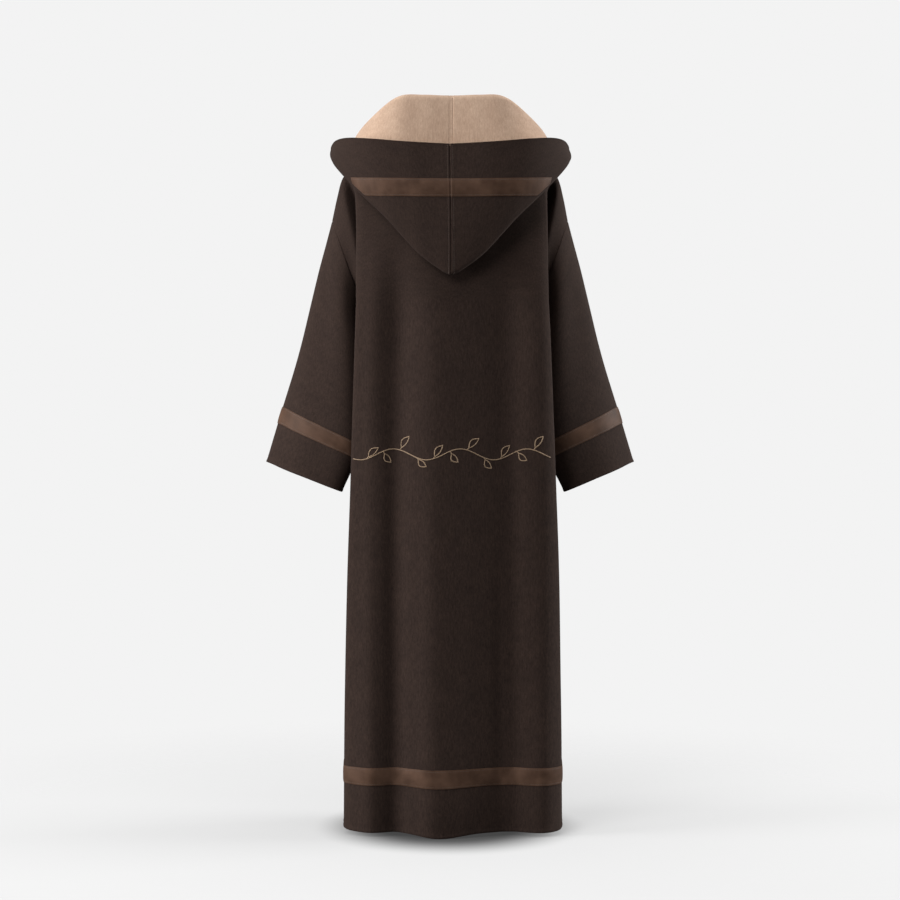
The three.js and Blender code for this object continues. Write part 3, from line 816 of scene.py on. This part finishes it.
class ClothShader:
    """Builds the materials of the cloth, the bands and the threads."""

    def __init__(self) -> None:
        """Makes the nap, which more than one material uses."""
        self.nap = self._nap_group()

    @staticmethod
    def _nap_group() -> bpy.types.NodeTree:
        """A short brushed nap: a mottled shade and a fibrous height, drawn on the cloth's own UV map in metres."""
        group = bpy.data.node_groups.new("brushed_nap", "ShaderNodeTree")
        face = group.interface
        for name, value in (("Fineness", 900.0), ("Grain", 3.0), ("Mottle", 30.0)):
            face.new_socket(name, in_out="INPUT", socket_type="NodeSocketFloat").default_value = value
        for name in ("Shade", "Patches", "Height"):
            face.new_socket(name, in_out="OUTPUT", socket_type="NodeSocketFloat")
        graph = Graph(group)
        inputs, outputs = graph.add("NodeGroupInput"), graph.add("NodeGroupOutput")
        place = graph.add("ShaderNodeTexCoord")
        stretch = graph.add("ShaderNodeMapping", {"Scale": (1.0, 0.3, 1.0)})
        fibres = graph.add("ShaderNodeTexNoise", {"Detail": 4.0, "Roughness": 0.65})
        clumps = graph.add("ShaderNodeTexNoise", {"Detail": 3.0, "Roughness": 0.6})
        patches = graph.add("ShaderNodeTexNoise", {"Detail": 3.0, "Roughness": 0.55})
        coarse = graph.math("DIVIDE")
        blend = graph.math("MULTIPLY_ADD", {1: 0.55})
        clump_share = graph.math("MULTIPLY", {1: 0.45})
        graph.join(place, "UV", (stretch, "Vector"), (patches, "Vector"))
        graph.join(stretch, "Vector", (fibres, "Vector"), (clumps, "Vector"))
        graph.join(inputs, "Fineness", (fibres, "Scale"), (coarse, 0))
        graph.join(inputs, "Grain", (coarse, 1))
        graph.join(coarse, 0, (clumps, "Scale"))
        graph.join(inputs, "Mottle", (patches, "Scale"))
        graph.join(clumps, "Fac", (clump_share, 0))
        graph.join(fibres, "Fac", (blend, 0))
        graph.join(clump_share, 0, (blend, 2))
        graph.join(blend, 0, (outputs, "Shade"), (outputs, "Height"))
        graph.join(patches, "Fac", (outputs, "Patches"))
        return group

    def brushed(self, finish: "BrushedCloth") -> bpy.types.Material:
        """A brushed cloth with a short nap.

        Args:
            finish: Its colours and texture.

        Returns:
            The material.
        """
        material, graph, shader = Graph.material(finish.name)
        values = {
            "Roughness": finish.roughness,
            "Specular IOR Level": 0.18,
            "Sheen Weight": finish.sheen,
            "Sheen Roughness": 0.45,
            "Sheen Tint": (*finish.sheen_tint, 1),
        }
        graph.fill(shader, values)
        nap = graph.add("ShaderNodeGroup")
        nap.node_tree = self.nap
        graph.fill(nap, {"Fineness": finish.fineness, "Mottle": finish.mottle})
        fine = graph.ramp(finish.dark, finish.light, 0.32, 0.68)
        tone = graph.ramp(finish.patch_dark, (1, 1, 1), 0.35, 0.65)
        mixer = graph.add("ShaderNodeMix")
        mixer.data_type, mixer.blend_type = "RGBA", "MULTIPLY"
        graph.fill(mixer, {"Factor": 1.0})
        relief = graph.add("ShaderNodeBump", {"Strength": finish.relief, "Distance": 0.0006})
        graph.join(nap, "Shade", (fine, "Fac"))
        graph.join(nap, "Patches", (tone, "Fac"))
        graph.join(fine, "Color", (mixer, "A"))
        graph.join(tone, "Color", (mixer, "B"))
        graph.join(mixer, "Result", (shader, "Base Color"))
        graph.join(nap, "Height", (relief, "Height"))
        graph.join(relief, "Normal", (shader, "Normal"))
        return material

    def band(self, finish: "BandLeather") -> bpy.types.Material:
        """A smooth trim band with a soft gloss and a faint grain.

        Args:
            finish: Its colours and gloss.

        Returns:
            The material.
        """
        material, graph, shader = Graph.material(finish.name)
        graph.fill(shader, {"Specular IOR Level": finish.gloss})
        place = graph.add("ShaderNodeTexCoord")
        grain = graph.add("ShaderNodeTexVoronoi")
        grain.feature = "DISTANCE_TO_EDGE"
        graph.fill(grain, {"Scale": 720.0})
        soft = graph.add("ShaderNodeTexNoise", {"Scale": 26.0, "Detail": 3.0})
        colour = graph.ramp(finish.dark, finish.light, 0.3, 0.7)
        spread = 0.08
        limits = {"To Min": finish.roughness - spread, "To Max": finish.roughness + spread}
        rough = graph.add("ShaderNodeMapRange", limits)
        height = graph.math("MULTIPLY_ADD", {1: 2.5})
        relief = graph.add("ShaderNodeBump", {"Strength": 0.35, "Distance": 0.0008})
        graph.join(place, "UV", (grain, "Vector"), (soft, "Vector"))
        graph.join(soft, "Fac", (colour, "Fac"), (rough, "Value"), (height, 0))
        graph.join(grain, "Distance", (height, 2))
        graph.join(colour, "Color", (shader, "Base Color"))
        graph.join(rough, "Result", (shader, "Roughness"))
        graph.join(height, 0, (relief, "Height"))
        graph.join(relief, "Normal", (shader, "Normal"))
        return material

    def thread(self, finish: "Thread") -> bpy.types.Material:
        """A twisted sewing thread, whose ply shows as fine slanted lines.

        Args:
            finish: Its colours.

        Returns:
            The material.
        """
        material, graph, shader = Graph.material(finish.name)
        graph.fill(shader, {"Roughness": 0.62, "Sheen Weight": 0.25})
        place = graph.add("ShaderNodeTexCoord")
        ply = graph.add("ShaderNodeTexWave", {"Scale": 420.0, "Distortion": 1.5})
        ply.bands_direction = "DIAGONAL"
        colour = graph.ramp(finish.dark, finish.light, 0.2, 0.8)
        relief = graph.add("ShaderNodeBump", {"Strength": 0.5, "Distance": 0.0002})
        graph.join(place, "Object", (ply, "Vector"))
        graph.join(ply, "Fac", (colour, "Fac"), (relief, "Height"))
        graph.join(colour, "Color", (shader, "Base Color"))
        graph.join(relief, "Normal", (shader, "Normal"))
        return material


@dataclass(frozen=True)
class BrushedCloth:
    """The finish of a brushed cloth."""

    name: str
    dark: tuple[float, float, float]
    light: tuple[float, float, float]
    patch_dark: tuple[float, float, float]
    sheen: float
    sheen_tint: tuple[float, float, float]
    roughness: float = 0.95
    fineness: float = 900.0
    mottle: float = 30.0
    relief: float = 0.5


@dataclass(frozen=True)
class BandLeather:
    """The finish of the trim bands."""

    name: str
    dark: tuple[float, float, float]
    light: tuple[float, float, float]
    gloss: float = 0.5
    roughness: float = 0.54


@dataclass(frozen=True)
class Thread:
    """The finish of a thread."""

    name: str
    dark: tuple[float, float, float]
    light: tuple[float, float, float]


@dataclass(frozen=True)
class Vine:
    """The embroidered vine, drawn flat: a waving stem, with leaves that stand up and hang down in turn."""

    middle: float = -643.0
    reach: float = 204.0
    wave: float = 11.0
    wave_long: float = 136.0
    wave_start: float = 0.6
    first_leaf: float = -170.0
    leaf_step: float = 34.0
    leaf_count: int = 11
    stalk: float = 6.0
    belly: float = 5.6
    sway: float = 2.2

    def stem(self, at: Array) -> Array:
        """The stem's height at each distance from the middle."""
        return self.middle + self.wave * np.sin(2 * np.pi * at / self.wave_long + self.wave_start)

    def lines(self) -> list[Array]:
        """Every line to sew, as points across and up the back."""
        x = np.linspace(-self.reach, self.reach, 260)
        found = [np.stack([x, self.stem(x)], axis=1)]
        for k in range(self.leaf_count):
            root = self.first_leaf + k * self.leaf_step
            up = 1 if k % 2 == 0 else -1
            lean = 0.95 if k % 3 else 0.75
            long = 33.0 if k % 2 == 0 else 27.0
            start = np.array([root, self.stem(np.array([root]))[0]])
            ahead = np.array([np.cos(lean), up * np.sin(lean)])
            side = np.array([-ahead[1], ahead[0]])
            t = np.linspace(0, 1, 34)
            belly = self.belly * np.sin(np.pi * t) ** 0.9
            sway = self.sway * np.sin(np.pi * t) * up
            rib = start + np.outer(self.stalk + (long - self.stalk) * t, ahead) + np.outer(sway, side)
            found += [np.vstack([start, rib[0]]), rib + np.outer(belly, side), rib - np.outer(belly, side)]
        return found


@dataclass
class Robe:
    """The whole robe, piece by piece."""

    body: BodyCut = field(default_factory=BodyCut)
    cloth: float = 2.4
    hood_cloth: float = 2.2
    lining: float = 1.6
    band: float = 0.9
    band_width: float = 36.0
    hem_band_above: float = 96.0
    seam_gap: float = 0.25
    edge_fine: float = 8.0
    hem_fine: float = 10.0
    finishes: dict[str, bpy.types.Material] = field(default_factory=dict)

    def dress(self) -> None:
        """Makes the finishes."""
        shader = ClothShader()
        self.finishes["wool"] = shader.brushed(
            BrushedCloth(
                "brushed_wool",
                dark=(0.0172, 0.0100, 0.0080),
                light=(0.0480, 0.0296, 0.0228),
                patch_dark=(0.86, 0.86, 0.87),
                sheen=0.02,
                sheen_tint=(0.80, 0.62, 0.48),
            )
        )
        self.finishes["lining"] = shader.brushed(
            BrushedCloth(
                "napped_lining",
                dark=(0.36, 0.245, 0.175),
                light=(0.56, 0.405, 0.300),
                patch_dark=(0.90, 0.88, 0.87),
                sheen=0.12,
                sheen_tint=(1.0, 0.95, 0.9),
                fineness=700.0,
                mottle=22.0,
            )
        )
        self.finishes["band"] = shader.band(
            BandLeather("band_leather", dark=(0.053, 0.0282, 0.0178), light=(0.112, 0.063, 0.042), gloss=0.09)
        )
        self.finishes["thread"] = shader.thread(Thread("edge_thread", (0.056, 0.036, 0.026), (0.102, 0.069, 0.051)))
        pale = Thread("lining_thread", (0.13, 0.08, 0.055), (0.24, 0.16, 0.115))
        self.finishes["lining_thread"] = shader.thread(pale)
        self.finishes["embroidery"] = shader.thread(Thread("tan_thread", (0.20, 0.125, 0.07), (0.36, 0.245, 0.145)))

    def keep(self, piece: bpy.types.Object, finish: str, slot: str, *nodes: str) -> None:
        """Dresses a piece, hangs it on the part and reports it.

        Args:
            piece: The finished piece.
            finish: The name of its finish.
            slot: The record's material slot; not used.
            nodes: The solids that it stands for.
        """
        piece.data.materials.clear()
        piece.data.materials.append(self.finishes[finish])
        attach(piece, "root")
        if nodes:
            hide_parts(*nodes)
        log.info("%s: %d faces", piece.name, len(piece.data.polygons))

    def panel_columns(self, name: str) -> Array:
        """The places of a panel's columns along the cloth, closer at the seams and standing folds."""
        b, fine = self.body, self.edge_fine
        edge = b.side_at - self.seam_gap
        half = spaced((0, 180, 46), (180, 272, 38), (272, edge - fine, 12), (edge - fine, edge, 7))
        if name == "back":
            return np.unique(np.r_[-half, half])
        start, end = b.side_at + self.seam_gap, b.front_at
        front = spaced((start, start + fine, 7), (start + fine, end - fine, 62), (end - fine, end, 7))
        return front if name == "front_right" else -front[::-1]

    def make_body(self) -> None:
        """Cuts and shapes the back and the two fronts, and their hem bands."""
        b = self.body
        tall = b.underarm_z - b.hem_z
        skirt = spaced((0, self.hem_fine / tall, 6), (self.hem_fine / tall, 1, 84))
        levels = np.unique(np.r_[skirt, 1 + (1 - np.cos(np.linspace(0, np.pi, 46))) / 2])
        low, high = self.hem_band_above, self.hem_band_above + self.band_width
        band_levels = np.linspace(low / tall, high / tall, 15)
        flats = {"back": (0.66, 1.43, 0.90), "front_right": (0.27, 1.43, 0.37), "front_left": (0.27, 1.43, 0.37)}
        for name, (wide, long, area) in flats.items():
            columns = self.panel_columns(name)
            piece = Sewing.sheet(name + "_panel", b.point, columns, levels, (wide, long), self.cloth)
            self.keep(piece, "wool", "wool", name)
            self.make_band(
                "hem_band_" + name,
                b.point,
                columns,
                band_levels,
                steps=(1.0, 0.001),
                flat=(wide * 1.02, self.band_width * MM),
                ahead=1.0,
            )

    def make_band(
        self,
        name: str,
        surface: Surface,
        a: Array,
        b: Array,
        steps: tuple[float, float],
        flat: tuple[float, float],
        ahead: float,
        closed: bool = False,
        flip: bool = False,
    ) -> None:
        """Lays a trim band on a piece of cloth and stitches down both of its edges.

        Args:
            name: The band's name, which is its solid's too.
            surface: The face that it lies on.
            a: Its columns along its length.
            b: Its rows across its width.
            steps: How far to look to each side for the outward direction.
            flat: The length and width it was cut to, in metres.
            ahead: 1 where the surface's own outward direction is right, or -1.
            closed: Whether it goes all the way round.
            flip: Whether its grid has to be turned round.
        """
        stitch_in = 3.2 / self.band_width
        under, crown_high, press_deep = 0.35, 0.7, 0.35

        def lifted(x: Array, y: Array) -> Array:
            """The band's under face, pressed down along its stitching and crowned between."""
            share = (y - b[0]) / (b[-1] - b[0])
            press = press_deep * bump(share - stitch_in, 0.03) + press_deep * bump(share - 1 + stitch_in, 0.03)
            crown = crown_high * np.sin(np.pi * np.clip(share, 0, 1)) ** 0.5
            normal = outward(surface, x, y, *steps) * ahead
            return surface(x, y) + normal * (under + crown - press)[:, None]

        piece = Sewing.sheet(name + "_strip", lifted, a, b, flat, self.band, grow=1.0, closed=closed, flip=flip)
        self.keep(piece, "band", "trim", name)
        runs = []
        for share in (stitch_in, 1 - stitch_in):
            x = np.linspace(a[0], a[-1], 4 * len(a))
            y = np.full_like(x, mix(b[0], b[-1], share))
            normal = outward(surface, x, y, *steps) * ahead
            runs.append((lifted(x, y) + normal * (self.band + 0.1), normal))
        sewn = Sewing.stitches(name + "_stitches", runs, pitch=3.4, long=2.9, wide=0.75, high=0.6)
        self.keep(sewn, "thread", "trim")

    def make_sleeves(self) -> None:
        """Cuts and shapes the two sleeves and their bands."""
        for side, inner in ((Side.LEFT, -6.0), (Side.RIGHT, 7.0)):
            cut = SleeveCut(side, inner)
            word = side.name.lower()
            turns = np.linspace(-np.pi, np.pi, 97) * side.value
            top, low = 9.0, cut.length - 9.0
            along = spaced((cut.start, top, 5), (top, low, 64), (low, cut.length, 7))
            flat = (0.465, 0.57)
            piece = Sewing.sheet("sleeve_" + word + "_cloth", cut.point, turns, along, flat, self.cloth, closed=True)
            self.keep(piece, "wool", "wool", "sleeve_" + word)
            band_end = cut.length - cut.cuff_band_above
            self.make_band(
                "cuff_band_" + word,
                cut.point,
                turns,
                np.linspace(band_end - cut.band_width, band_end, 13),
                steps=(0.01, 0.5),
                flat=(0.43, cut.band_width * MM),
                ahead=float(side.value),
                closed=True,
            )

    def make_hood(self) -> None:
        """Cuts and shapes the hood, its lining and its band, and topstitches the seam over its middle."""
        seam_runs: list[tuple[Array, Array]] = []
        lining_runs: list[tuple[Array, Array]] = []
        for side in (Side.LEFT, Side.RIGHT):
            cut = HoodCut(side, self.body)
            word = side.name.lower()
            sign = float(side.value)
            flip = side is Side.LEFT
            u = spaced((0, 0.018, 13), (0.018, 0.6, 56), (0.6, 1, 38))
            s = spaced(
                (0, 0.1, 10), (0.1, 0.19, 22), (0.19, 0.55, 26), (0.55, 0.65, 22), (0.65, 0.985, 30), (0.985, 1, 6)
            )

            def outer(uu: Array, ss: Array, cut: HoodCut = cut, sign: float = sign) -> Array:
                """The wool's outer face, with its lapped seam, the topstitching and the rolled brim."""
                d = cut.from_seam(uu, ss)
                lap = 0.45 * ease((d - 0.6) / 0.9) * ease((7.5 - d) / 1.6) if sign > 0 else 0.25 * bump(d - 3.0, 2.0)
                dent = lap - 1.0 * bump(d, 1.0) - 0.35 * bump(d - cut.row_at, 0.8) + 0.8 * bump((1 - ss) * 300, 4)
                normal = outward(cut.point, uu, ss, cut.look, cut.look) * sign
                return cut.point(uu, ss) + normal * dent[:, None]

            def inner(uu: Array, ss: Array, cut: HoodCut = cut, sign: float = sign) -> Array:
                """The lining's face that lies against the wool."""
                d = cut.from_seam(uu, ss)
                dent = 0.3 * bump(d, 1.0) + 0.95 * bump(d - cut.lining_row_at, 0.9)
                normal = outward(cut.point, uu, ss, cut.look, cut.look) * sign
                return cut.point(uu, ss) + normal * (dent - self.hood_cloth - 0.3)[:, None]

            flat = (0.52, 0.74)
            wool = Sewing.sheet("hood_" + word + "_cloth", outer, u, s, flat, self.hood_cloth, flip=flip)
            self.keep(wool, "wool", "wool", "hood_" + word)
            short = s[s < 0.997]
            lined = Sewing.sheet("hood_lining_" + word + "_cloth", inner, u, short, flat, self.lining, flip=flip)
            self.keep(lined, "lining", "lining", "hood_lining_" + word)

            def on_band(uu: Array, share: Array, cut: HoodCut = cut) -> Array:
                """The wool's face under the band."""
                return outer(uu, cut.band_place(uu, share), cut)

            columns = spaced((0, 0.018, 9), (0.018, 0.44, 40))
            self.make_band(
                "hood_band_" + word,
                on_band,
                columns,
                np.linspace(0, 1, 13),
                steps=(0.003, 0.03),
                flat=(0.225, self.band_width * MM),
                ahead=sign,
                flip=flip,
            )
            places = np.linspace(0.004, 0.996, 500)
            trial = np.linspace(0, 0.06, 25)
            rows = ((seam_runs, cut.row_at, 0.1), (lining_runs, cut.lining_row_at, -self.lining - 0.1))
            for runs, distance, depth in rows:
                away = cut.from_seam(np.tile(trial, places.size), np.repeat(places, trial.size))
                at = np.array([np.interp(distance, line, trial) for line in away.reshape(-1, trial.size)])
                normal = outward(cut.point, at, places, cut.look, cut.look) * sign
                face = outer(at, places) if depth > 0 else inner(at, places)
                runs.append((face + normal * depth, normal * np.sign(depth)))
        sewn = Sewing.stitches("hood_seam_stitches", seam_runs, pitch=3.6, long=3.0, wide=0.8, high=0.6)
        self.keep(sewn, "thread", "wool")
        sewn = Sewing.stitches("lining_seam_stitches", lining_runs, pitch=3.6, long=3.0, wide=0.8, high=0.6)
        self.keep(sewn, "lining_thread", "lining")

    def make_vine(self) -> None:
        """Embroiders a plain running vine with leaves across the back, in stem stitch."""
        even_lines = []
        for line in Vine().lines():
            run = run_along(line)
            even = np.linspace(0, run[-1], max(int(run[-1] / 1.5), 3))
            even_lines.append(read_along(even, run, line))
        ends = np.cumsum([len(line) for line in even_lines])[:-1]
        points, normals = self.body.on_back(*np.vstack(even_lines).T)
        runs = list(zip(np.split(points + normals * 0.25, ends), np.split(normals, ends)))
        sewn = Sewing.stitches("back_vine_stem_stitch", runs, pitch=2.3, long=6.2, wide=1.9, high=1.5, slant=0.24)
        self.keep(sewn, "embroidery", "trim")


@dataclass(frozen=True)
class Lamp:
    """A square soft light: where it stands, what it points at and its side, all in metres, and its power in watts."""

    name: str
    place: tuple[float, float, float]
    aim: tuple[float, float, float]
    size: float
    power: float


class Studio:
    """The camera, the floor and the lights."""

    floor_z = -1.4225
    floor_radius = 1.7
    floor_glow = 0.46
    floor_grey = 0.3
    fade_from = 0.45
    # The painted shadow round the robe's foot: its oval, how far out it fades, and how dark it is at the middle.
    foot = (0.14, 0.155)
    painted_shadow_reach = 2.1
    painted_shadow_dark = 0.13
    backdrop = 0.896
    ambient = 0.10
    lamps = (
        Lamp("key", (-4.1, -1.0, 0.1), (0, 0, -0.65), 1.8, 185),
        Lamp("front", (-1.9, -3.2, 1.6), (0, 0, -0.7), 2.0, 88),
        Lamp("rim", (3.8, 0.5, 0.3), (0, 0, -0.6), 1.8, 165),
        Lamp("top", (0.0, -0.3, 3.0), (0, -0.1, -1.4), 3.2, 100),
    )

    def camera(self) -> None:
        """Sets the camera level with the robe's middle, behind the wearer, as in the photograph."""
        data = bpy.data.cameras.new("camera")
        data.lens = 80.0
        data.sensor_width = 36.0
        camera = bpy.data.objects.new("camera", data)
        bpy.context.collection.objects.link(camera)
        camera.location = (0.0, -4.2, -0.634)
        camera.rotation_euler = (np.pi / 2, 0, 0)
        bpy.context.scene.camera = camera

    @staticmethod
    def _distance(graph: Graph, place: Node, scale: Sequence[float]) -> Node:
        """The distance of each place on the floor from its middle, with each axis scaled."""
        scaled = graph.add("ShaderNodeVectorMath")
        scaled.operation = "MULTIPLY"
        graph.fill(scaled, {1: scale})
        length = graph.add("ShaderNodeVectorMath")
        length.operation = "LENGTH"
        graph.join(place, "Object", (scaled, 0))
        graph.join(scaled, "Vector", (length, 0))
        return length

    @staticmethod
    def _falloff(graph: Graph, distance: Node, near: float, far: float, inside: float, outside: float) -> Node:
        """A value that changes smoothly from inside to outside as the distance goes from near to far."""
        change = graph.add("ShaderNodeMapRange")
        change.interpolation_type = "SMOOTHSTEP"
        graph.fill(change, {"From Min": near, "From Max": far, "To Min": inside, "To Max": outside})
        graph.join(distance, "Value", (change, "Value"))
        return change

    def floor(self) -> None:
        """Lays a round of plain pale floor, whose edge fades into the plain pale background.

        A painted shadow is part of the floor's material: a soft dark oval round the robe's foot, which darkens the
        floor's glow and its base colour. The lamps do not cast it.
        """
        Sewing.deselect()
        middle = (0, 0, self.floor_z)
        bpy.ops.mesh.primitive_circle_add(vertices=96, radius=self.floor_radius, fill_type="NGON", location=middle)
        bpy.ops.object.transform_apply(location=True)
        ground = bpy.context.active_object
        ground.name = "studio_floor"
        paper, graph, shader = Graph.material("studio_paper")
        graph.fill(shader, {"Roughness": 0.9, "Specular IOR Level": 0.0, "Emission Color": (1, 1, 1, 1)})
        place = graph.add("ShaderNodeTexCoord")
        reach = self._distance(graph, place, (1, 1, 0))
        fade = self._falloff(graph, reach, self.fade_from, self.floor_radius, 1.0, 0.0)
        # Painted shadow: the floor's glow and base colour are darkened in a soft oval round the robe's foot, darkest
        # at the middle.
        around = self._distance(graph, place, (1 / self.foot[0], 1 / self.foot[1], 0))
        shade = self._falloff(graph, around, 1.0, self.painted_shadow_reach, self.painted_shadow_dark, 1.0)
        seen = graph.add("ShaderNodeLightPath")
        glow = graph.math("MULTIPLY", {1: self.floor_glow})
        glow_under_painted_shadow = graph.math("MULTIPLY")
        base_under_painted_shadow = graph.math("MULTIPLY", {1: self.floor_grey})
        graph.join(seen, "Is Camera Ray", (glow, 0))
        graph.join(glow, 0, (glow_under_painted_shadow, 0))
        graph.join(shade, "Result", (glow_under_painted_shadow, 1), (base_under_painted_shadow, 0))
        graph.join(glow_under_painted_shadow, 0, (shader, "Emission Strength"))
        graph.join(base_under_painted_shadow, 0, (shader, "Base Color"))
        graph.join(fade, "Result", (shader, "Alpha"))
        ground.data.materials.append(paper)

    def lights(self) -> None:
        """Lights the robe softly from far to the left, before a plain pale background."""
        for lamp in self.lamps:
            data = bpy.data.lights.new(lamp.name, "AREA")
            data.size, data.energy = lamp.size, lamp.power
            light = bpy.data.objects.new(lamp.name, data)
            bpy.context.collection.objects.link(light)
            light.location = lamp.place
            light.rotation_euler = (Vector(lamp.aim) - Vector(lamp.place)).to_track_quat("-Z", "Y").to_euler()
        world = bpy.data.worlds.new("studio")
        bpy.context.scene.world = world
        world.use_nodes = True
        graph = Graph(world.node_tree)
        sky = graph.fill(graph.nodes["Background"], {"Color": (1, 1, 1, 1)})
        seen = graph.add("ShaderNodeLightPath")
        strength = graph.add("ShaderNodeMapRange", {"To Min": self.ambient, "To Max": self.backdrop})
        graph.join(seen, "Is Camera Ray", (strength, "Value"))
        graph.join(strength, "Result", (sky, "Strength"))
        bpy.context.scene.view_settings.view_transform = "Standard"


def main() -> None:
    """Builds the studio and the robe, and reports each piece."""
    logging.basicConfig(level=logging.INFO, format="%(name)s %(message)s")
    studio = Studio()
    studio.camera()
    robe = Robe()
    robe.dress()
    robe.make_body()
    robe.make_sleeves()
    robe.make_hood()
    robe.make_vine()
    studio.floor()
    studio.lights()


if __name__ == "__main__":
    main()
